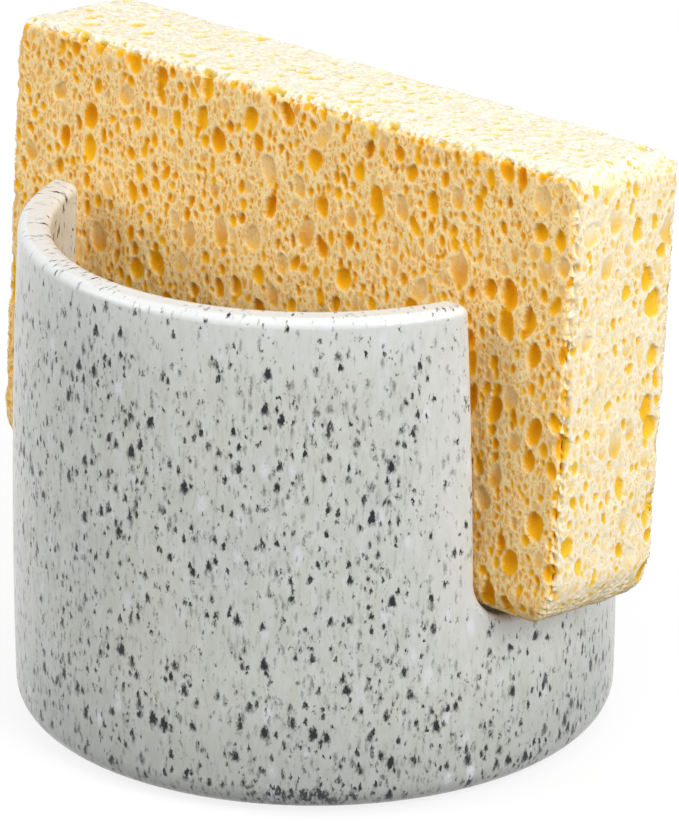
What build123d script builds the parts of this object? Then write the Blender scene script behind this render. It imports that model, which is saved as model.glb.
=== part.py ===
from build123d import *
from math import acos, atan2, cos, degrees, hypot, radians, sin, sqrt, tan
import os

# Round ceramic sponge holder: a barrelled cup with a U-shaped slot straight across it, four pads
# under its foot, and one cellulose sponge that stands on edge in the slot and leans on its back wall.
# Millimetres, +Z up. The origin is on the cup's axis, on the surface that the pads stand on.
# The slot and the sponge run along X, and the slot's back wall is on the +Y side.

# Cup, outside
holder_height = 76.1  # from the counter to the top of the rim
belly_radius = 45.1
belly_height = 20.3
rim_narrowing = 1.6  # how much the barrel closes in from the belly to the rim
foot_narrowing = 0.2
base_round = 4.2
wall_thickness = 4.9
lip_round = 1.4  # along the rim and down both sides of the slot

# Cup, inside and underneath
floor_thickness = 6.0
well_round = 7.0
foot_ring_width = 7.0
foot_recess_depth = 1.2
foot_ring_round = 0.8

# Slot
slot_floor_height = 27.4
slot_front_play = 0.75  # between the sponge and the slot's upright front side
slot_back_play = 1.3  # at the slot's floor, on the side that the sponge leans on
slot_back_draft = 2.4  # degrees that the back side leans away
slot_corner_round = 6.7

# Sponge
sponge_length = 111.9
sponge_thickness = 22.6
sponge_height = 68.3
sponge_top_corner = 3.2
sponge_foot_corner = 8.0
sponge_edge_round = 1.6
sponge_foot_round = 4.5  # along both lower edges, which the slot's round corners pressed into shape
sponge_shift = 0.7  # how far along the slot it was pushed
sponge_seat_gap = 0.3

# Pads
pad_diameter = 10.0
pad_thickness = 1.8
pad_edge_round = 0.4
pad_margin = 2.5  # from the pad's edge to the side of the recess

cut_overrun = 5.0

# Worked out from the sizes above
foot_height = pad_thickness - foot_recess_depth
foot_radius = belly_radius - foot_narrowing
rim_radius = belly_radius - rim_narrowing
well_floor = foot_height + floor_thickness
recess_radius = foot_radius - base_round - foot_ring_width
recess_top = foot_height + foot_recess_depth
pad_place = (recess_radius - pad_margin - pad_diameter / 2) / sqrt(2)
slot_front = sponge_thickness / 2 + slot_front_play
slot_floor_back = sponge_thickness / 2 + slot_back_play
draft = radians(slot_back_draft)


def slot_back(height):
    return slot_floor_back + (height - slot_floor_height) * tan(draft)


# Middle of the sponge's underside, as y and z, at a lean. Its two lower edges lie in the slot's
# round corners, and the line through those edges' centres is as far from the one as from the other.
def sponge_bottom(lean):
    corner_height = slot_floor_height + slot_corner_round
    front_corner = slot_corner_round - slot_front
    back_corner = slot_back(corner_height) - slot_corner_round / cos(draft)
    edge_offset = sponge_thickness / 2 - sponge_foot_round
    across = max(edge_offset * cos(lean) - (back_corner - front_corner) / 2, 0)
    rise = edge_offset * sin(lean)
    reach = slot_corner_round - sponge_foot_round - sponge_seat_gap
    drop = sqrt(max(reach**2 - across**2 - rise**2, 0))
    tilt = atan2(rise, across)
    middle = (front_corner + back_corner) / 2
    y = middle - drop * sin(tilt) - sponge_foot_round * sin(lean)
    z = corner_height - drop * cos(tilt) - sponge_foot_round * cos(lean)
    return y, z


# Lean at which the sponge's back face meets the round edge at the top of the slot's back wall.
def lean_on_back_wall(bottom_y, bottom_z):
    edge_height = holder_height - lip_round
    edge_y = slot_back(edge_height) + lip_round / cos(draft)
    out = edge_y - bottom_y
    up = edge_height - bottom_z
    stand_off = sponge_thickness / 2 + sponge_seat_gap + lip_round
    return acos(stand_off / hypot(out, up)) - atan2(up, out)


# The lean moves the lower edges and they move the lean, so the two are settled in turn.
settling_turns = 12
lean = 0.0
for turn in range(settling_turns):
    bottom_y, bottom_z = sponge_bottom(lean)
    lean = lean_on_back_wall(bottom_y, bottom_z)
print("sponge leans", round(degrees(lean), 2), "bottom at", round(bottom_y, 2), round(bottom_z, 2))

os.makedirs("parts", exist_ok=True)

# The cup is one revolved wall with a flat rim. The slot is cut through both sides of it, and then
# one round runs along the rim, down into the slot, under the sponge and up again, inside and outside.
with BuildPart() as holder_body:
    with BuildSketch(Plane.XZ):
        with BuildLine():
            outside = ThreePointArc(
                (foot_radius, foot_height),
                (belly_radius, belly_height),
                (rim_radius, holder_height),
            )
            inside = ThreePointArc(
                (rim_radius - wall_thickness, holder_height),
                (belly_radius - wall_thickness, belly_height),
                (foot_radius - wall_thickness, well_floor),
            )
            Line(outside @ 1, inside @ 0)
            Polyline(
                inside @ 1,
                (0, well_floor),
                (0, recess_top),
                (recess_radius, recess_top),
                (recess_radius, foot_height),
                outside @ 0,
            )
        make_face()
        fillet(vertices().group_by(Axis.Y)[0].sort_by(Axis.X)[-1], base_round)
        fillet(vertices().group_by(Axis.Y)[0].sort_by(Axis.X)[0], foot_ring_round)
        well_corner = vertices().sort_by_distance((foot_radius - wall_thickness, well_floor))[0]
        fillet(well_corner, well_round)
    revolve(axis=Axis.Z)

    with BuildSketch(Plane.YZ):
        with BuildLine():
            top = holder_height + cut_overrun
            Polyline(
                (-slot_front, top),
                (-slot_front, slot_floor_height),
                (slot_floor_back, slot_floor_height),
                (slot_back(top), top),
                close=True,
            )
        make_face()
        fillet(vertices().group_by(Axis.Y)[0], slot_corner_round)
    extrude(amount=belly_radius + cut_overrun, both=True, mode=Mode.SUBTRACT)

    cut_edges = edges(Select.LAST)
    rim_edges = edges().group_by(Axis.Z)[-1]
    slot_edges = cut_edges - cut_edges.filter_by(Axis.X) - rim_edges
    fillet(rim_edges + slot_edges, lip_round)
holder_body.part.label = "holder_body"

# Each pad is glued flat to the roof of the recess inside the foot ring, and reaches below the ring.
pad_sides = {
    "foot_pad_front_left": (-1, -1),
    "foot_pad_front_right": (1, -1),
    "foot_pad_back_left": (-1, 1),
    "foot_pad_back_right": (1, 1),
}
pads = {}
for pad_name, (side_x, side_y) in pad_sides.items():
    with BuildPart() as pad:
        with BuildSketch():
            with Locations((side_x * pad_place, side_y * pad_place)):
                Circle(pad_diameter / 2)
        extrude(amount=pad_thickness)
        fillet(edges().group_by(Axis.Z)[0], pad_edge_round)
    pad.part.label = pad_name
    pads[pad_name] = pad

# The sponge is a cut block with worn corners. Both planes start at the middle of its underside and
# tip back with it: the first lies along its large faces, the second across its length.
sponge_foot = (sponge_shift, bottom_y, bottom_z)
face_plane = Plane(origin=sponge_foot, x_dir=(1, 0, 0), z_dir=(0, -cos(lean), sin(lean)))
end_plane = Plane(origin=sponge_foot, x_dir=(0, cos(lean), -sin(lean)), z_dir=(1, 0, 0))
from_underside = (Align.CENTER, Align.MIN)
with BuildPart() as sponge:
    with BuildSketch(face_plane):
        Rectangle(sponge_length, sponge_height, align=from_underside)
        fillet(vertices().group_by(Axis.Y)[-1], sponge_top_corner)
        fillet(vertices().group_by(Axis.Y)[0], sponge_foot_corner)
    extrude(amount=sponge_thickness / 2, both=True)
    front_face, back_face = faces().sort_by(SortBy.AREA)[-2:]
    fillet(front_face.edges() + back_face.edges(), sponge_edge_round)
    with BuildSketch(end_plane):
        Rectangle(sponge_thickness, sponge_height, align=from_underside)
        fillet(vertices().group_by(Axis.Y)[0], sponge_foot_round)
    extrude(amount=sponge_length / 2 + cut_overrun, both=True, mode=Mode.INTERSECT)
sponge.part.label = "sponge"

export_step(holder_body.part, "parts/holder_body.step")
export_step(sponge.part, "parts/sponge.step")
for pad_name, pad in pads.items():
    export_step(pad.part, f"parts/{pad_name}.step")
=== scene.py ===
import math
import bpy
import bmesh
import numpy as np
from mathutils import Matrix, Vector


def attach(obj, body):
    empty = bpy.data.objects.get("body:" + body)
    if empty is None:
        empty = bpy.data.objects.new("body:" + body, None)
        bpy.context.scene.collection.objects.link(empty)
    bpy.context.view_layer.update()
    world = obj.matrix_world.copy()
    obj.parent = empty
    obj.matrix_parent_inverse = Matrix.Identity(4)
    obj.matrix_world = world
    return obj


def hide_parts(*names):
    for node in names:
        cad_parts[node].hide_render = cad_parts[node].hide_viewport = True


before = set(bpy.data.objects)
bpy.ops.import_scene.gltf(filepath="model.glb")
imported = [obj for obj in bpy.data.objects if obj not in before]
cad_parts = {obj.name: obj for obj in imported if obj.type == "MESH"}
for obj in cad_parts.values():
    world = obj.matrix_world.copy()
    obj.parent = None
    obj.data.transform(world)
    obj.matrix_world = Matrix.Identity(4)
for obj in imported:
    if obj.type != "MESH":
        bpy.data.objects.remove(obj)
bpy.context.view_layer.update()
print("frame loaded")

mm = 0.001


def hexColour(text):  # an sRGB colour, as linear light
    channels = [int(text[i:i + 2], 16) / 255 for i in (1, 3, 5)]
    return [c / 12.92 if c <= 0.04045 else ((c + 0.055) / 1.055) ** 2.4 for c in channels] + [1.0]


def addNode(tree, kind, inputs, **settings):  # an input is a number, a colour, a node or a socket
    node = tree.nodes.new("ShaderNode" + kind)
    for name, value in settings.items():
        setattr(node, name, value)
    for key, value in inputs.items():
        sockets = [s for s in node.inputs if s.enabled and s.name == key]
        socket = node.inputs[key] if isinstance(key, int) else sockets[0]
        if isinstance(value, bpy.types.Node):
            value = [s for s in value.outputs if s.enabled][0]
        if isinstance(value, bpy.types.NodeSocket):
            tree.links.new(value, socket)
        else:
            socket.default_value = hexColour(value) if isinstance(value, str) else value
    return node


def emptyTree(owner):
    owner.use_nodes = True
    owner.node_tree.nodes.clear()
    return owner.node_tree


# Camera

cameraView = {
    "azimuth": 42.582,  # degrees round from the front, towards the sponge's right end
    "elevation": 21.085,
    "roll": 0.073,
    "distance": 935.17 * mm,
    "aim": Vector((0.218, 5.167, 44.317)) * mm,
    "lens": 274.48,
    "clip": (0.05, 20.0),  # metres
}


def makeCamera():
    azimuth = math.radians(cameraView["azimuth"])
    elevation = math.radians(cameraView["elevation"])
    back = Vector((
        math.sin(azimuth) * math.cos(elevation),
        -math.cos(azimuth) * math.cos(elevation),
        math.sin(elevation),
    ))
    data = bpy.data.cameras.new("camera")
    data.lens = cameraView["lens"]
    data.clip_start, data.clip_end = cameraView["clip"]
    camera = bpy.data.objects.new("camera", data)
    place = Matrix.Translation(cameraView["aim"] + back * cameraView["distance"])
    turn = (-back).to_track_quat("-Z", "Y").to_matrix().to_4x4()
    roll = Matrix.Rotation(math.radians(cameraView["roll"]), 4, "Z")
    camera.matrix_world = place @ turn @ roll
    bpy.context.scene.collection.objects.link(camera)
    bpy.context.scene.camera = camera
    print("camera placed")


# Studio

studio = {
    "floorWidth": 3.0,
    "floorColour": "#7c7c7c",
    "floorGlow": 0.82,  # what only the camera and mirror reflections see, so that the paper is white
    "skyColour": "#ffffff",
    "skyStrength": 0.52,  # as light; seen directly it is 1
    "aim": (0.0, 0.0, 0.045),
    "lamps": {  # where each stands, its width and height in metres, and its power in watts
        "keyRight": ((0.80, -0.14, 0.50), 0.45, 0.60, 6.1),
        "frontSoft": ((-0.56, -0.68, 0.46), 0.60, 0.60, 4.0),
        "topSoft": ((0.10, 0.25, 0.95), 0.80, 0.60, 1.0),
    },
}


def seenDirectly(tree):  # 1 for the camera and for what a mirror or glass shows of the background
    path = addNode(tree, "LightPath", {}).outputs
    mirrored = addNode(tree, "Math", {0: path["Is Glossy Ray"], 1: path["Is Transmission Ray"]},
                       operation="ADD")
    return addNode(tree, "Math", {0: path["Is Camera Ray"], 1: mirrored}, operation="MAXIMUM")


def makeStudio():
    bpy.context.scene.view_settings.view_transform = "Standard"
    bm = bmesh.new()
    bmesh.ops.create_grid(bm, x_segments=1, y_segments=1, size=studio["floorWidth"] / 2)
    mesh = bpy.data.meshes.new("floor")
    bm.to_mesh(mesh)
    bm.free()
    floor = bpy.data.objects.new("floor", mesh)
    bpy.context.scene.collection.objects.link(floor)

    # White paper that keeps the object's shadow
    material = bpy.data.materials.new("white paper")
    tree = emptyTree(material)
    paper = addNode(tree, "BsdfDiffuse", {"Color": studio["floorColour"]})
    glow = addNode(tree, "Math", {0: seenDirectly(tree), 1: studio["floorGlow"]}, operation="MULTIPLY")
    shine = addNode(tree, "Emission", {"Strength": glow})
    both = addNode(tree, "AddShader", {0: paper, 1: shine})
    addNode(tree, "OutputMaterial", {"Surface": both})
    mesh.materials.append(material)

    world = bpy.data.worlds.new("studio")
    bpy.context.scene.world = world
    tree = emptyTree(world)
    strength = addNode(tree, "MapRange", {"Value": seenDirectly(tree), "To Min": studio["skyStrength"]})
    sky = addNode(tree, "Background", {"Color": studio["skyColour"], "Strength": strength})
    addNode(tree, "OutputWorld", {"Surface": sky})

    for name, (place, width, height, power) in studio["lamps"].items():
        lamp = bpy.data.lights.new(name, "AREA")
        lamp.shape, lamp.size, lamp.size_y, lamp.energy = "RECTANGLE", width, height, power
        stand = bpy.data.objects.new(name, lamp)
        direction = Vector(studio["aim"]) - Vector(place)
        turn = direction.to_track_quat("-Z", "Y").to_matrix().to_4x4()
        stand.matrix_world = Matrix.Translation(Vector(place)) @ turn
        bpy.context.scene.collection.objects.link(stand)
    print("studio lit")


# Glazed stoneware: a pale satin glaze that ran a little in the kiln, so its iron specks are drawn
# out down the wall, and over the lip they turn into thin strokes. It is white on the lip, partly from
# thin glaze and partly as a painted highlight, still a little paler beside it, and painted darker and
# greyer towards the foot as painted shade. All lengths are millimetres.

glaze = {
    "belly": 45.1,
    "wallFrom": (30.0, 36.0),  # between these radii the pattern turns from the floor's to the wall's
    "stretch": 0.52,  # one millimetre down the wall counts for this much of the pattern
    "through": 0.55,  # how far it is drawn out through the wall, which makes strokes on the lip
    "colours": {
        "ground": "#c4c7c2",
        "warm": "#cacbc3",
        "pale": "#d8dad8",
        "ash": "#7b817f",
        "thinned": "#dddfdc",
        # painted shade: the darker grey laid on towards the foot
        "thick": "#a9aca8",
        "bloom": "#e0e2e8",
        # the white lip: partly thin glaze, partly a painted highlight
        "lip": "#eceeee",
        "blot": "#1a222b",
        "iron": "#0f1316",
    },
    "coats": (  # over the ground colour, one after another: how much of it shows, and its colour
        ("warmth", "warm"),
        ("clouds", "pale"),
        ("streaked", "ash"),
        ("nearLip", "thinned"),
        ("footShade", "thick"),
        # painted shade, darker and greyer towards the foot
        ("bloom", "bloom"),
        # the white lip, partly thin glaze and partly a painted highlight
        ("lip", "lip"),
        ("blot", "blot"),
    ),
    "slot": {  # as the solid has it: its sides, how its back leans away, its floor and round corners
        "front": 12.05,
        "back": 12.6,
        "spread": 0.0419,
        "floor": 27.4,
        "corner": 6.7,
    },
    "rim": 76.1,
    # the lip's white, partly thin glaze and partly a painted highlight:
    "lipFrom": (1.75, 0.42, 0.7),  # from nothing, at this distance, to most, and how much that is
    "nearLipFrom": (13.0, 0.0, 0.6),
    "noises": {  # how many to a millimetre, detail and roughness
        "ragged": (2.4, 3.0, 0.65),  # unsettles the specks' outlines
        "gathers": (0.20, 3.0, 0.5),  # where specks crowd
        "broken": (3.4, 3.0, 0.7),  # paler places inside a speck
        "drift": (0.06, 3.0, 0.5),
        "mottle": (0.50, 5.0, 0.65),
        "streaks": (1.7, 5.0, 0.65),
        "flecks": (0.95, 4.0, 0.7),
        "ripple": (0.22, 2.0, 0.5),
    },
    "runDown": 0.35,  # the streaks are drawn out by this much more
    "drawnDown": 0.6,  # and so are the faint specks
    "amounts": {  # what each is read from, its range there, and what that turns into
        "clusters": ("gathers", 0.36, 0.64, 0.35, 1.45),
        "breaks": ("broken", 0.34, 0.52, 0.80, 1.1),
        "warmth": ("drift", 0.38, 0.62, 0.0, 1.0),
        "clouds": ("mottle", 0.42, 0.70, 0.0, 0.8),
        "streaked": ("streaks", 0.55, 0.75, 0.0, 0.5),
        "nearFoot": ("height", 3.0, 16.0, 0.60, 0.0),
        "spared": ("nearLip", 0.0, 0.6, 1.0, 0.40),  # fewer specks beside the lip
    },
    "footShadeFrom": (2.0, 22.0, 0.6),  # heights between which the painted shade at the foot fades, and its amount
    "smudge": {  # where iron gathered at the foot
        "place": (29.0, -33.2, 1.5),
        "reach": (2.8, 14.0),
        "height": (3.5, 7.0),
        "gain": 0.17,
        "shows": (0.61, 0.70, 0.95),
    },
    "layers": {  # spacing, least and greatest radius, soft edge; then share, taper, strength
        "faint": (0.80, 0.15, 0.38, 0.30, 0.80, 0.0, 0.60),
        "small": (1.10, 0.18, 0.42, 0.20, 0.72, 0.50, 1.1),
        "bold": (1.80, 0.28, 0.68, 0.36, 0.68, 0.65, 1.2),
        "bloom": (2.9, 0.40, 1.05, 0.70, 0.55, 0.0, 0.85),
    },
    "edgeOutside": 0.3,  # how much of a speck's soft edge lies outside its outline
    "weakest": 0.8,  # the palest speck of a layer, against the darkest
    "speckDent": 0.12,
    "relief": (0.12 * mm, 0.6),  # height of the ripple, and its strength
    "rippleFrom": (0.3, 0.7),
    "roughness": (0.18, 0.28),
    "refraction": 1.44,
}


def wallPlace(tree):  # millimetres, and a place that is squeezed along the wall and drawn through it
    place = addNode(tree, "TexCoord", {}).outputs["Object"]
    real = addNode(tree, "VectorMath", {0: place, "Scale": 1 / mm}, operation="SCALE")
    axes = addNode(tree, "SeparateXYZ", {0: real}).outputs
    flat = addNode(tree, "CombineXYZ", {"X": axes["X"], "Y": axes["Y"]})
    around = addNode(tree, "VectorMath", {0: flat}, operation="NORMALIZE")
    ring = addNode(tree, "VectorMath", {0: around, "Scale": glaze["belly"]}, operation="SCALE")
    radius = addNode(tree, "VectorMath", {0: flat}, operation="LENGTH")
    floorEnds, wallStarts = glaze["wallFrom"]
    onWall = addNode(tree, "MapRange", {"Value": radius, "From Min": floorEnds, "From Max": wallStarts,
                                        "To Max": glaze["through"]}, interpolation_type="SMOOTHSTEP")
    spot = addNode(tree, "Mix", {"Factor": onWall, "A": flat, "B": ring}, data_type="VECTOR")
    spotAxes = addNode(tree, "SeparateXYZ", {0: spot}).outputs
    tall = addNode(tree, "Math", {0: axes["Z"], 1: glaze["stretch"]}, operation="MULTIPLY")
    return real, axes, addNode(tree, "CombineXYZ", {"X": spotAxes["X"], "Y": spotAxes["Y"], "Z": tall})


def lipNearness(tree, axes):  # from the distance to the rim or to the slot, whichever is nearer
    slot = glaze["slot"]
    rise = addNode(tree, "Math", {0: axes["Z"], 1: slot["floor"]}, operation="SUBTRACT")
    lean = addNode(tree, "Math", {0: rise, 1: slot["spread"]}, operation="MULTIPLY")
    behind = addNode(tree, "Math", {0: axes["Y"], 1: lean}, operation="SUBTRACT")
    pastBack = addNode(tree, "Math", {0: behind, 1: slot["back"] - slot["corner"]}, operation="SUBTRACT")
    pastFront = addNode(tree, "Math", {0: slot["corner"] - slot["front"], 1: axes["Y"]},
                        operation="SUBTRACT")
    past = addNode(tree, "Math", {0: pastBack, 1: pastFront}, operation="MAXIMUM")
    below = addNode(tree, "Math", {0: slot["corner"], 1: rise}, operation="SUBTRACT")
    corner = addNode(tree, "CombineXYZ", {"X": past, "Y": below})
    outside = addNode(tree, "VectorMath", {0: corner, 1: (0, 0, 0)}, operation="MAXIMUM")
    away = addNode(tree, "VectorMath", {0: outside}, operation="LENGTH")
    fromSlot = addNode(tree, "Math", {0: away, 1: slot["corner"]}, operation="SUBTRACT")
    fromRim = addNode(tree, "Math", {0: glaze["rim"], 1: axes["Z"]}, operation="SUBTRACT")
    nearest = addNode(tree, "Math", {0: fromSlot, 1: fromRim}, operation="MINIMUM")
    both = []
    for none, full, most in (glaze["lipFrom"], glaze["nearLipFrom"]):
        both.append(addNode(tree, "MapRange", {"Value": nearest, "From Min": full, "From Max": none,
                                               "To Min": most, "To Max": 0},
                            interpolation_type="SMOOTHSTEP"))
    return both


def speckLayer(tree, spot, layer, crowding):
    spacing, small, large, edge, share, taper, most = glaze["layers"][layer]
    cells = addNode(tree, "TexVoronoi", {"Vector": spot, "Scale": 1 / spacing}).outputs
    chance = addNode(tree, "SeparateColor", {0: cells["Color"]}).outputs
    # A cell holds a speck where its own chance is under the share, which rises inside a cluster
    limit = addNode(tree, "Math", {0: crowding, 1: share}, operation="MULTIPLY")
    kept = addNode(tree, "Math", {0: chance["Green"], 1: limit}, operation="LESS_THAN")
    size = addNode(tree, "MapRange", {"Value": chance["Red"], "To Min": small, "To Max": large})
    local = addNode(tree, "VectorMath", {0: spot, 1: cells["Position"]}, operation="SUBTRACT")
    up = addNode(tree, "SeparateXYZ", {0: local}).outputs["Z"]
    # Drawn thin at the top, like a drop
    width = addNode(tree, "MapRange", {"Value": up, "From Min": -large, "From Max": large,
                                       "To Min": 1 - taper, "To Max": 1 + taper})
    drop = addNode(tree, "CombineXYZ", {"X": width, "Y": width, "Z": 1.0})
    shaped = addNode(tree, "VectorMath", {0: local, 1: drop}, operation="MULTIPLY")
    distance = addNode(tree, "VectorMath", {0: shaped}, operation="LENGTH")
    nearness = addNode(tree, "Math", {0: size, 1: distance}, operation="SUBTRACT")
    outside = -glaze["edgeOutside"] * edge
    inside = addNode(tree, "MapRange", {"Value": nearness, "From Min": outside, "From Max": edge},
                     interpolation_type="SMOOTHSTEP")
    strength = addNode(tree, "MapRange", {"Value": chance["Blue"], "To Min": glaze["weakest"] * most,
                                          "To Max": most})
    seen = addNode(tree, "Math", {0: inside, 1: strength}, operation="MULTIPLY")
    return addNode(tree, "Math", {0: seen, 1: kept}, operation="MULTIPLY")


def ironBlot(tree, real, axes, flecks):  # the dark flecks where iron gathered at the foot
    smudge = glaze["smudge"]
    full, none = smudge["reach"]
    away = addNode(tree, "VectorMath", {0: real, 1: smudge["place"]}, operation="DISTANCE")
    beside = addNode(tree, "MapRange", {"Value": away, "From Min": full, "From Max": none,
                                        "To Min": 1.0, "To Max": 0.0}, interpolation_type="SMOOTHSTEP")
    full, none = smudge["height"]
    under = addNode(tree, "MapRange", {"Value": axes["Z"], "From Min": full, "From Max": none,
                                       "To Min": 1.0, "To Max": 0.0})
    here = addNode(tree, "Math", {0: beside, 1: under}, operation="MULTIPLY")
    gathered = addNode(tree, "Math", {0: here, 1: smudge["gain"], 2: flecks}, operation="MULTIPLY_ADD")
    least, full, most = smudge["shows"]
    return addNode(tree, "MapRange", {"Value": gathered, "From Min": least, "From Max": full,
                                      "To Max": most})


def makeGlaze():
    material = bpy.data.materials.new("glazed stoneware")
    tree = emptyTree(material)
    real, axes, spot = wallPlace(tree)
    run = addNode(tree, "Mapping", {"Vector": spot, "Scale": (1.0, 1.0, glaze["runDown"])})
    source = {"height": axes["Z"]}
    for name, (scale, detail, roughness) in glaze["noises"].items():
        source[name] = addNode(tree, "TexNoise", {"Vector": run if name == "streaks" else spot,
                                                  "Scale": scale, "Detail": detail,
                                                  "Roughness": roughness})
    lip, source["nearLip"] = lipNearness(tree, axes)
    amount = {}
    for name, (read, start, end, least, most) in glaze["amounts"].items():
        amount[name] = addNode(tree, "MapRange", {"Value": source[read], "From Min": start,
                                                  "From Max": end, "To Min": least, "To Max": most})
    shift = addNode(tree, "VectorMath", {0: source["ragged"].outputs["Color"], 1: (0.5, 0.5, 0.5)},
                    operation="SUBTRACT")
    raggedSpot = addNode(tree, "VectorMath", {0: spot, 1: shift}, operation="ADD")

    # The ground colour and its coats
    # Painted shade: the glaze is painted darker and greyer towards the foot
    start, end, most = glaze["footShadeFrom"]
    footShade = addNode(tree, "MapRange", {"Value": axes["Z"], "From Min": start, "From Max": end,
                                        "To Min": most, "To Max": 0.0}, interpolation_type="SMOOTHSTEP")
    amount["lip"], amount["nearLip"], amount["footShade"] = lip, source["nearLip"], footShade
    amount["bloom"] = speckLayer(tree, raggedSpot, "bloom", 1.0)
    amount["blot"] = ironBlot(tree, real, axes, source["flecks"])
    colour = glaze["colours"]["ground"]
    for name, tint in glaze["coats"]:
        colour = addNode(tree, "Mix", {"Factor": amount[name], "A": colour, "B": glaze["colours"][tint]},
                         data_type="RGBA")

    # Iron specks gather in loose clusters, thicken towards the foot and thin out beside the lip
    crowded = addNode(tree, "Math", {0: amount["clusters"], 1: amount["nearFoot"]}, operation="ADD")
    crowding = addNode(tree, "Math", {0: crowded, 1: amount["spared"]}, operation="MULTIPLY")
    drawn = addNode(tree, "Mapping", {"Vector": raggedSpot, "Scale": (1.0, 1.0, glaze["drawnDown"])})
    for layer, place in (("faint", drawn), ("small", raggedSpot), ("bold", raggedSpot)):
        speck = speckLayer(tree, place, layer, crowding)
        dark = addNode(tree, "Math", {0: speck, 1: amount["breaks"]}, operation="MULTIPLY",
                       use_clamp=True)
        colour = addNode(tree, "Mix", {"Factor": dark, "A": colour, "B": glaze["colours"]["iron"]},
                         data_type="RGBA")

    ripple = source["ripple"]
    sunk = addNode(tree, "Math", {0: dark, 1: -glaze["speckDent"], 2: ripple}, operation="MULTIPLY_ADD")
    height, strength = glaze["relief"]
    bump = addNode(tree, "Bump", {"Height": sunk, "Distance": height, "Strength": strength})
    start, end = glaze["rippleFrom"]
    smooth, dull = glaze["roughness"]
    rough = addNode(tree, "MapRange", {"Value": ripple, "From Min": start, "From Max": end,
                                       "To Min": smooth, "To Max": dull})
    shader = addNode(tree, "BsdfPrincipled", {"Base Color": colour, "Roughness": rough,
                                              "IOR": glaze["refraction"], "Normal": bump})
    addNode(tree, "OutputMaterial", {"Surface": shader})
    print("glaze mixed")
    return material


# Cellulose sponge: cream fibre full of oval gas pores, amber inside, with thin pale walls between.
# Its long faces are painted tan, its ends paler and its top nearly white: lit and shaded copies of one
# cellulose, as painted light and shade.

sponge = {
    "cell": 0.25 * mm,
    "halvings": 2,  # how often the coarse grid is halved to get there
    "edgeRound": 1.7 * mm,
    "topCorner": 3.2 * mm,
    "footCorner": 8.0 * mm,
    "footRound": 4.5 * mm,
    "heldTo": 46 * mm,  # the cup holds it this far each way along, and up to this height
    "heldUpTo": 77 * mm,
    "presses": 4,  # how often points are pressed onto the worn block until they lie on it
    "pressStep": 0.01 * mm,
    "seed": 11,
    "loosened": 0.3,  # how far points stray along the surface, against a cell
    "waves": {  # how many, how long and how strong
        "wobble": (14, 0.5 * mm, 0.045 * mm),  # so that pores aren't true ovals
        "wear": (10, 0.8 * mm, 0.4),
        "cut": (12, 1.5 * mm, 0.4),
        "crumble": (12, 0.38 * mm, 0.5),
    },
    "sizes": {  # widths in millimetres, and how many to a square centimetre
        "large": (1.7, 3.0, 3.2),
        "middle": (1.0, 1.7, 15.0),
        "small": (0.60, 1.0, 50.0),
    },
    "deepness": (0.8, 1.2),  # a pore's depth against its width
    "tallness": (1.25, 1.95),
    "sinking": (-0.30, 0.60),  # how far its centre lies under the face, against its depth
    "tilt": 14.0,  # degrees
    "overlap": 0.45,  # how far two may run into one another, against their size
    "ghosts": (0.55, 0.28, 0.45),  # share that are only a pale dish, on ends, long faces and top
    "hollow": 0.50,  # how deep a pore is cut, against a full round bubble
    "ghostHollow": 0.25,
    "nearby": 1.35,  # how far round a pore its points are looked for
    "poreEdge": 0.12 * mm,
    "rimWidth": 0.16 * mm,  # the thin pale rim round each pore
    "rimFade": 1.3,
    "filmOpens": (0.55, 0.7, 0.8),  # from its tone, from how low, and the most
    "amberToneAndShade": (0.15, 0.75, 0.35, 0.6),  # least, from its tone, from how high, less at the edge; the parts from height and towards the middle are painted shade
    "grain": 0.012 * mm,
    "worn": 0.021 * mm,
    "ragged": 0.07 * mm,  # how unevenly the block was cut, away from the cup
    "crumbled": 0.42 * mm,  # what broke away along its edges
    "edgeFrom": (0.985, 0.15),  # how squarely a face may look before it counts as an edge
    "footCrumbles": 0.3,  # the pressed foot keeps more of its crumbs
    "colours": {  # on the long faces, on the ends and on the top; the paler ends and top are painted light
        "fibre": ("#f7c168", "#f6e2b2", "#f9f2dc"),
        "pale": ("#ffe5ac", "#fdf3dc", "#fefbf2"),
        "shade": ("#e89c20", "#f2cc70", "#f3e0a4"),
        "membrane": ("#efc684", "#f7e8c0", "#fbf4dc"),
        "pore": ("#fdbe1c", "#f6cc40", "#f4da70"),
        # deep: a darker orange, partly a pore's own tone and partly painted shade in its middle and upper
        # wall
        "deep": ("#dc7c00", "#eaac14", "#e8c244"),
    },
}


def spongeAxes():  # the block's length, thickness and height, its middle and its size
    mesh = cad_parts["sponge"].data
    face = max(mesh.polygons, key=lambda p: p.area)
    thick = Vector(face.normal)
    if thick.y < 0:
        thick = -thick  # from the front face to the back face
    length = Vector((1, 0, 0))
    tall = length.cross(thick)
    corners = np.array([v.co[:] for v in mesh.vertices])
    axes = np.array([length, thick, tall])
    along = corners @ axes.T
    low, high = along.min(axis=0), along.max(axis=0)
    return axes, (low + high) / 2, high - low


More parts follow.
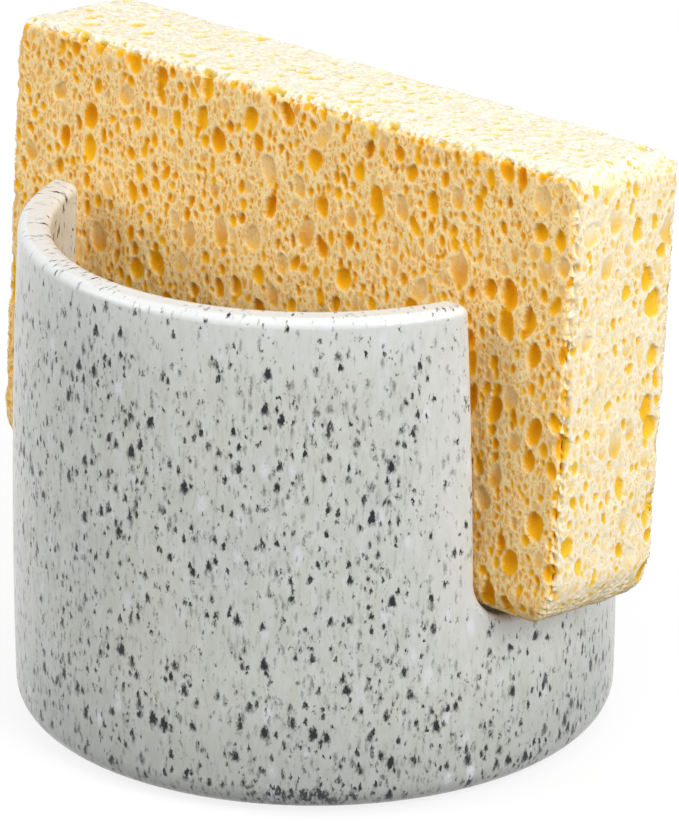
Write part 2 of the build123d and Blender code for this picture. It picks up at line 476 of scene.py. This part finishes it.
def denseBlock(size):
    coarse = sponge["cell"] * 2 ** sponge["halvings"]
    bm = bmesh.new()
    bmesh.ops.create_cube(bm, size=1)
    bmesh.ops.scale(bm, vec=Vector(size), verts=bm.verts)
    for axis in range(3):
        along = [e for e in bm.edges if abs(e.verts[0].co[axis] - e.verts[1].co[axis]) > coarse]
        cuts = round(size[axis] / coarse) - 1
        bmesh.ops.subdivide_edges(bm, edges=along, cuts=cuts, use_grid_fill=True)
    mesh = bpy.data.meshes.new("block")
    bm.to_mesh(mesh)
    bm.free()
    block = bpy.data.objects.new("block", mesh)
    bpy.context.scene.collection.objects.link(block)
    finer = block.modifiers.new("finer", "SUBSURF")
    finer.subdivision_type = "SIMPLE"
    finer.levels = finer.render_levels = sponge["halvings"]
    whole = block.evaluated_get(bpy.context.evaluated_depsgraph_get())
    fine = bpy.data.meshes.new_from_object(whole)
    bpy.data.objects.remove(block)
    return fine


def boxDistance(across, up, halfAcross, halfUp, footRound, topRound):  # to a rectangle with round corners
    corner = np.where(up < 0, footRound, topRound)
    a, b = np.abs(across) - halfAcross + corner, np.abs(up) - halfUp + corner
    return np.minimum(np.maximum(a, b), 0) + np.hypot(np.maximum(a, 0), np.maximum(b, 0)) - corner


def spongeDistance(points, size):  # how far each point lies outside the worn block
    x, y, z = points.T
    half, edge = size / 2, sponge["edgeRound"]
    outline = boxDistance(x, z, half[0], half[2], sponge["footCorner"], sponge["topCorner"]) + edge
    depth = np.abs(y) - half[1] + edge
    within = np.minimum(np.maximum(outline, depth), 0)
    block = within + np.hypot(np.maximum(outline, 0), np.maximum(depth, 0)) - edge
    return np.maximum(block, boxDistance(y, z, half[1], half[2], sponge["footRound"], edge))


def roundBlock(points, size):  # presses the square block's points onto the worn block
    step = sponge["pressStep"]
    for turn in range(sponge["presses"]):
        distance = spongeDistance(points, size)
        slopes = [spongeDistance(points + step * axis, size) - spongeDistance(points - step * axis, size)
                  for axis in np.eye(3)]
        outward = np.stack(slopes, axis=1)
        outward /= np.linalg.norm(outward, axis=1, keepdims=True)
        points = points - outward * distance[:, None]
    return points, outward


def placePores(size, rng):
    pores = []
    half = np.array(size) / 2
    for axis in range(3):
        others = [i for i in range(3) if i != axis]
        area = size[others[0]] * size[others[1]] * 1e4  # in square centimetres
        for side in (-1, 1):
            taken = np.zeros((0, 4))
            for low, high, perCentimetre in sponge["sizes"].values():
                for turn in range(int(area * perCentimetre)):
                    width = rng.uniform(low, high) * mm / 2
                    depth, tall = rng.uniform(*sponge["deepness"]), rng.uniform(*sponge["tallness"])
                    half3 = width * np.array([1.0, depth, tall])
                    centre = rng.uniform(-1, 1, 3) * half
                    sinking = half3[axis] * rng.uniform(*sponge["sinking"])
                    centre[axis] = side * (half[axis] - sinking)
                    tilt = math.radians(rng.normal(0, sponge["tilt"]))
                    ghost = rng.uniform() < sponge["ghosts"][axis]
                    tone = rng.uniform()
                    # Bubbles seldom run into one another, so one that would is left out
                    apart = np.abs(taken[:, :3] - centre).max(axis=1) - taken[:, 3] - half3.max()
                    if len(taken) and apart.min() < -sponge["overlap"] * half3.max():
                        continue
                    taken = np.vstack([taken, [*centre, half3.mean()]])
                    pores.append((centre, half3, tilt, ghost, tone))
    return pores


def waves(points, rng, kind):  # a soft random push for every point
    count, length, size = sponge["waves"][kind]
    total = np.zeros_like(points)
    for turn in range(count):
        wave = rng.normal(0, 1.0, 3) / length
        push = rng.normal(0, size, 3)
        total += push * np.sin(points @ wave + rng.uniform(0, 2 * math.pi))[:, None]
    return total


def cutPores(surface, outward, size, rng):  # how deep each point sinks, and how it is coloured
    tested = surface + waves(surface, rng, "wobble")
    order = np.argsort(tested[:, 0])
    ordered = tested[order, 0]
    depth, rim, amber, poreToneAndShade, membrane = np.zeros((5, len(surface)))
    pores = placePores(size, rng)
    for centre, half3, tilt, ghost, tone in pores:
        reach = half3.max() * sponge["nearby"]
        first, last = np.searchsorted(ordered, (centre[0] - reach, centre[0] + reach))
        picked = order[first:last]
        picked = picked[np.abs(tested[picked] - centre).max(axis=1) < reach]
        if not len(picked):
            continue
        # Seen from the pore's middle, in its own sizes: u is the place, v the way out
        cosine, sine = math.cos(tilt), math.sin(tilt)
        turn = np.array([[cosine, 0, sine], [0, 1, 0], [-sine, 0, cosine]])
        u = (tested[picked] - centre) @ turn.T / half3
        v = outward[picked] @ turn.T / half3
        uu, uv, vv = (u * u).sum(1), (u * v).sum(1), (v * v).sum(1)
        inside = uu < 1
        exitDepth = (uv + np.sqrt(np.maximum(uv * uv - vv * (uu - 1), 0))) / vv
        exitDepth *= sponge["ghostHollow"] if ghost else sponge["hollow"]
        fromRim = (1 - np.sqrt(uu)) * half3.min()
        strength = np.clip(0.5 + fromRim / sponge["poreEdge"], 0, 1)
        if ghost:  # a film of cellulose closes all but its lower end
            membrane[picked] = np.maximum(membrane[picked], strength)
            byTone, byHeight, most = sponge["filmOpens"]
            strength = strength * np.clip(byTone * tone - byHeight * u[:, 2], 0, most)
        depth[picked] = np.where(inside, np.maximum(depth[picked], exitDepth), depth[picked])
        amber[picked] = np.maximum(amber[picked], strength)
        # Painted shade: a pore is painted deeper orange towards its middle and up its upper wall, over its
        # own random tone
        least, byTone, byHeight, atEdge = sponge["amberToneAndShade"]
        deep = np.clip(least + byTone * tone + byHeight * u[:, 2], 0, 1) * (1 - atEdge * uu)
        poreToneAndShade[picked] = np.where(inside, deep, poreToneAndShade[picked])
        width = sponge["rimWidth"] / half3.min()
        fromRing = np.abs(np.sqrt(uu) - 1 - width) / (width * sponge["rimFade"])
        rim[picked] = np.maximum(rim[picked], np.clip(1 - fromRing, 0, 1) * (~inside))
    print("pores cut", len(pores))
    return depth, {"poreAmber": amber, "poreRim": rim, "poreToneAndShade": poreToneAndShade, "membrane": membrane}


def wearAway(depth, surface, outward, place, size, rng):  # adds wear, the rough cut and lost crumbs
    worn = np.abs(waves(surface, rng, "wear")).sum(axis=1) * sponge["worn"]
    uneven = waves(surface, rng, "cut")[:, 0] * sponge["ragged"]
    held = (np.abs(place[:, 0]) < sponge["heldTo"]) & (place[:, 2] < sponge["heldUpTo"])
    uneven = np.where(held, np.maximum(uneven, 0), uneven)
    square, fade = sponge["edgeFrom"]
    onEdge = np.clip((square - np.abs(outward).max(axis=1)) / fade, 0, 1)
    aboveFoot = (surface[:, 2] + size[2] / 2) / sponge["footCorner"]
    onEdge *= np.clip(aboveFoot, sponge["footCrumbles"], 1)
    uneven += onEdge * np.abs(waves(surface, rng, "crumble")[:, 0]) * sponge["crumbled"]
    return depth + worn + uneven + np.abs(rng.normal(0, sponge["grain"], len(surface)))


def makeSponge():
    axes, middle, size = spongeAxes()
    rng = np.random.default_rng(sponge["seed"])
    mesh = denseBlock(size)
    count = len(mesh.vertices)
    flat = np.empty(count * 3)
    mesh.vertices.foreach_get("co", flat)
    print("sponge block", count)

    surface, outward = roundBlock(flat.reshape(-1, 3), size)
    stray = sponge["loosened"]
    loosened = rng.uniform(-stray, stray, surface.shape) * sponge["cell"]
    surface = surface + loosened - outward * (loosened * outward).sum(1, keepdims=True)
    depth, values = cutPores(surface, outward, size, rng)
    sunk = wearAway(depth, surface, outward, (surface + middle) @ axes, size, rng)
    moved = surface - outward * sunk[:, None]
    mesh.vertices.foreach_set("co", ((moved + middle) @ axes).ravel())
    # Which way each point faces, for the painted light that makes the ends paler and the top nearly white
    values["endPaintedLight"], values["topPaintedLight"] = np.abs(outward[:, 0]), outward[:, 2]
    for name, value in values.items():
        layer = mesh.attributes.new(name, "FLOAT", "POINT")
        layer.data.foreach_set("value", value.astype(np.float32))
    mesh.shade_smooth()
    mesh.update()
    mesh.materials.append(makeCellulose())
    piece = bpy.data.objects.new("cellulose_sponge", mesh)
    bpy.context.scene.collection.objects.link(piece)
    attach(piece, "sponge")
    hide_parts("sponge")


# The cellulose between the pores: fine foam, thin pale walls round cells half a millimetre to two
# millimetres across, some of them open. Lengths are millimetres, and cells count from their middle.

foam = {
    "layers": (  # from cell to cell, least and greatest radius; share open, its strength, walls
        (0.60, 0.10, 0.22, 0.50, 0.60, 0.45),
        (1.10, 0.20, 0.42, 0.70, 0.85, 0.9),
        (1.70, 0.34, 0.66, 0.45, 0.85, 0.0),
    ),
    "squeezed": 0.60,  # cells are taller than they are wide
    "bend": (1.3, 2.0, 0.9),  # of the noise that bends them: how many, detail, push
    "fibres": (1.1, 4.0, 0.6),  # how many, detail, roughness
    "fibresFrom": (0.40, 0.60),
    "paintedLightFrom": (0.30, 0.75),  # how squarely a place looks to the end or up before its colour turns to the painted light
    "hollowFrom": (0.06, 0.30),  # distances from a wall, against a cell
    "wallTo": (0.02, 0.13),
    "liningFrom": (-0.20, -0.06),  # and from the outline of an open cell
    "openFrom": (-0.03, 0.08),
    "wallHeight": 0.6,
    "film": 0.75,
    "rim": 0.8,
    "fibreHeight": 0.3,
    "relief": (0.09 * mm, 0.5),
    "roughness": 0.85,
    "specular": 0.08,
}


def makeCellulose():
    material = bpy.data.materials.new("cellulose sponge")
    tree = emptyTree(material)
    place = addNode(tree, "TexCoord", {}).outputs["Object"]
    spot = addNode(tree, "VectorMath", {0: place, "Scale": 1 / mm}, operation="SCALE")
    read = {}
    for name in ("poreAmber", "poreRim", "poreToneAndShade", "membrane", "endPaintedLight", "topPaintedLight"):
        read[name] = addNode(tree, "Attribute", {}, attribute_name=name).outputs["Fac"]
    start, end = foam["paintedLightFrom"]
    endPaintedLight, topPaintedLight = [addNode(tree, "MapRange", {"Value": read[name], "From Min": start, "From Max": end})
                    for name in ("endPaintedLight", "topPaintedLight")]
    # Each colour in painted lit copies for the ends and for the top
    tinted = {}
    for name, (faceTint, endTint, topTint) in sponge["colours"].items():
        sides = addNode(tree, "Mix", {"Factor": endPaintedLight, "A": faceTint, "B": endTint}, data_type="RGBA")
        tinted[name] = addNode(tree, "Mix", {"Factor": topPaintedLight, "A": sides, "B": topTint},
                               data_type="RGBA")

    squeezed = addNode(tree, "Mapping", {"Vector": spot, "Scale": (1.0, 1.0, foam["squeezed"])})
    scale, detail, push = foam["bend"]
    bent = addNode(tree, "TexNoise", {"Vector": squeezed, "Scale": scale, "Detail": detail})
    shift = addNode(tree, "VectorMath", {0: bent.outputs["Color"], 1: (0.5, 0.5, 0.5)},
                    operation="SUBTRACT")
    pushed = addNode(tree, "VectorMath", {0: shift, "Scale": push}, operation="SCALE")
    bentSpot = addNode(tree, "VectorMath", {0: squeezed, 1: pushed}, operation="ADD")
    scale, detail, roughness = foam["fibres"]
    fibres = addNode(tree, "TexNoise", {"Vector": bentSpot, "Scale": scale, "Detail": detail,
                                        "Roughness": roughness})
    start, end = foam["fibresFrom"]
    tone = addNode(tree, "MapRange", {"Value": fibres, "From Min": start, "From Max": end})
    colour = addNode(tree, "Mix", {"Factor": tone, "A": tinted["shade"], "B": tinted["fibre"]},
                     data_type="RGBA")

    sunk = 0.0
    for spacing, small, large, share, strength, ridge in foam["layers"]:
        cells = addNode(tree, "TexVoronoi", {"Vector": bentSpot, "Scale": 1 / spacing}).outputs
        chance = addNode(tree, "SeparateColor", {0: cells["Color"]}).outputs
        walls = addNode(tree, "TexVoronoi", {"Vector": bentSpot, "Scale": 1 / spacing},
                        feature="DISTANCE_TO_EDGE")
        start, end = foam["hollowFrom"]
        hollow = addNode(tree, "MapRange", {"Value": walls, "From Min": start, "From Max": end,
                                            "To Max": ridge})
        dimmed = addNode(tree, "Math", {0: hollow, 1: chance["Blue"]}, operation="MULTIPLY")
        start, end = foam["wallTo"]
        wall = addNode(tree, "MapRange", {"Value": walls, "From Min": start, "From Max": end,
                                          "To Min": ridge, "To Max": 0.0})
        # An open cell has a pale lining and an amber hollow
        size = addNode(tree, "MapRange", {"Value": chance["Red"], "To Min": small / spacing,
                                          "To Max": large / spacing})
        nearness = addNode(tree, "Math", {0: size, 1: cells["Distance"]}, operation="SUBTRACT")
        kept = addNode(tree, "Math", {0: chance["Green"], 1: share}, operation="LESS_THAN")
        start, end = foam["liningFrom"]
        around = addNode(tree, "MapRange", {"Value": nearness, "From Min": start, "From Max": end})
        lined = addNode(tree, "Math", {0: around, 1: kept}, operation="MULTIPLY")
        start, end = foam["openFrom"]
        inside = addNode(tree, "MapRange", {"Value": nearness, "From Min": start, "From Max": end,
                                            "To Max": strength})
        opened = addNode(tree, "Math", {0: inside, 1: kept}, operation="MULTIPLY")
        hue = addNode(tree, "Mix", {"Factor": chance["Blue"], "A": tinted["pore"],
                                    "B": tinted["shade"]}, data_type="RGBA")
        steps = ((dimmed, tinted["shade"]), (wall, tinted["pale"]), (lined, tinted["pale"]), (opened, hue))
        for amount, tint in steps:
            colour = addNode(tree, "Mix", {"Factor": amount, "A": colour, "B": tint}, data_type="RGBA")
        raised = addNode(tree, "Math", {0: wall, 1: spacing * foam["wallHeight"], 2: sunk},
                         operation="MULTIPLY_ADD")
        sunk = addNode(tree, "Math", {0: opened, 1: -spacing, 2: raised}, operation="MULTIPLY_ADD")

    # The pores that are cut into the mesh
    film = addNode(tree, "Math", {0: read["membrane"], 1: foam["film"]}, operation="MULTIPLY")
    rim = addNode(tree, "Math", {0: read["poreRim"], 1: foam["rim"]}, operation="MULTIPLY")
    # the deeper orange is partly each pore's own tone and partly painted shade
    amber = addNode(tree, "Mix", {"Factor": read["poreToneAndShade"], "A": tinted["pore"], "B": tinted["deep"]},
                    data_type="RGBA")
    steps = ((film, tinted["membrane"]), (rim, tinted["pale"]), (read["poreAmber"], amber))
    for amount, tint in steps:
        colour = addNode(tree, "Mix", {"Factor": amount, "A": colour, "B": tint}, data_type="RGBA")

    height = addNode(tree, "Math", {0: fibres, 1: foam["fibreHeight"], 2: sunk},
                     operation="MULTIPLY_ADD")
    distance, strength = foam["relief"]
    bump = addNode(tree, "Bump", {"Height": height, "Distance": distance, "Strength": strength})
    shader = addNode(tree, "BsdfPrincipled", {"Base Color": colour, "Roughness": foam["roughness"],
                                              "Normal": bump, "Specular IOR Level": foam["specular"]})
    addNode(tree, "OutputMaterial", {"Surface": shader})
    print("cellulose mixed")
    return material


# Silicone rubber pads: clear rubber, moulded against a fine matt tool, so they look milky and dull

padRubber = {
    "body": "#c9c9c4",
    "bloom": "#dcdcd8",
    "grain": 0.4 * mm,
    "detail": 2.0,
    "relief": (0.05 * mm, 0.5),
    "roughness": 0.55,
}


def makePadRubber():
    material = bpy.data.materials.new("silicone rubber")
    tree = emptyTree(material)
    place = addNode(tree, "TexCoord", {}).outputs["Object"]
    grain = addNode(tree, "TexNoise", {"Vector": place, "Scale": 1 / padRubber["grain"],
                                       "Detail": padRubber["detail"]})
    colour = addNode(tree, "Mix", {"Factor": grain, "A": padRubber["body"], "B": padRubber["bloom"]},
                     data_type="RGBA")
    height, strength = padRubber["relief"]
    bump = addNode(tree, "Bump", {"Height": grain, "Distance": height, "Strength": strength})
    shader = addNode(tree, "BsdfPrincipled", {"Base Color": colour, "Roughness": padRubber["roughness"],
                                              "Normal": bump})
    addNode(tree, "OutputMaterial", {"Surface": shader})
    print("rubber mixed")
    return material


makeCamera()
makeStudio()
glazeMaterial = makeGlaze()
rubberMaterial = makePadRubber()
for name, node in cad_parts.items():
    if name == "holder_body":
        node.data.materials.clear()
        node.data.materials.append(glazeMaterial)
    elif name.startswith("foot_pad"):
        node.data.materials.clear()
        node.data.materials.append(rubberMaterial)
makeSponge()
